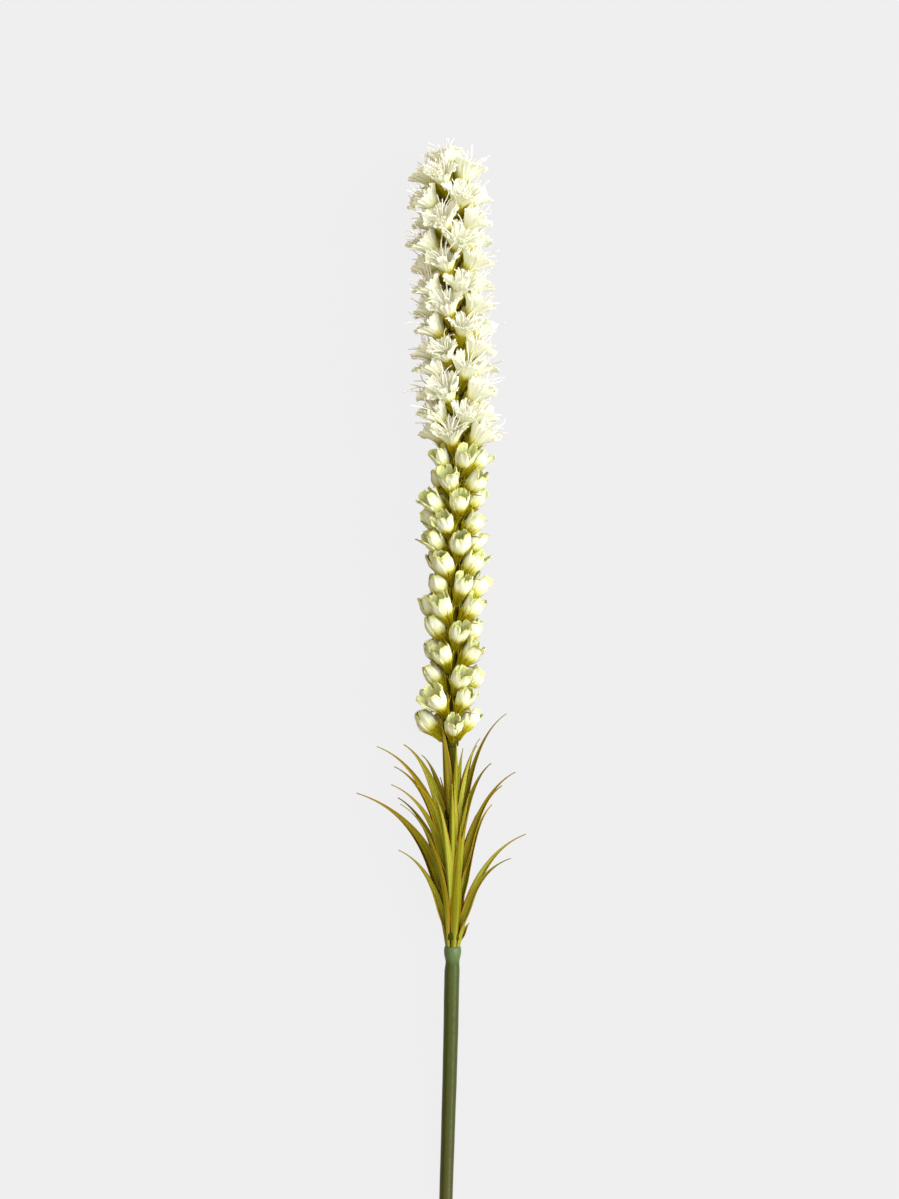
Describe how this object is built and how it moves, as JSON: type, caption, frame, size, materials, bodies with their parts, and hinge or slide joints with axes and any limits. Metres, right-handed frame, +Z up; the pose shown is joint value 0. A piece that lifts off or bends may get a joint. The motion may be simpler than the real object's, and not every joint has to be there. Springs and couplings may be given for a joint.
{
  "type": "artificial blazing star stem",
  "caption": "Artificial white blazing star, one cut stem lying on its side: collared stem, grassy leaves, cup-shaped buds and open toothed florets round a slim axis",
  "frame": {"origin": "on the surface the flower lies on, under the middle of its bounding box", "axes": "+Y runs along the stem from its cut end to the crown, +X is the picture's right, +Z is up"},
  "size_m": [0.0848, 0.6042, 0.0429],
  "materials": {
    "stem": "smooth moulded plastic, grey green, slightly mottled",
    "flower_axis": "dull dark olive",
    "leaves": "olive green with brown edges and tips",
    "buds": "soft matte, cream green petals on an olive calyx",
    "florets": "soft matte, white petals on an olive tube"
  },
  "bodies": {
    "root": {"stem": "stem", "flower_axis": "flower_axis", "leaf_tuft_01": "leaves", "leaf_tuft_02": "leaves", "leaf_tuft_03": "leaves", "leaf_tuft_04": "leaves", "leaf_tuft_05": "leaves", "leaf_tuft_06": "leaves", "bud_whorl_01": "buds", "bud_whorl_02": "buds", "bud_whorl_03": "buds", "bud_whorl_04": "buds", "bud_whorl_05": "buds", "bud_whorl_06": "buds", "bud_whorl_07": "buds", "bud_whorl_08": "buds", "bud_whorl_09": "buds", "bud_whorl_10": "buds", "bud_whorl_11": "buds", "bud_whorl_12": "buds", "bud_whorl_13": "buds", "floret_whorl_01": "florets", "floret_whorl_02": "florets", "floret_whorl_03": "florets", "floret_whorl_04": "florets", "floret_whorl_05": "florets", "floret_whorl_06": "florets", "floret_whorl_07": "florets", "floret_whorl_08": "florets", "floret_whorl_09": "florets", "floret_whorl_10": "florets", "floret_whorl_11": "florets", "floret_whorl_12": "florets", "crown": "florets"}
  },
  "joints": []
}
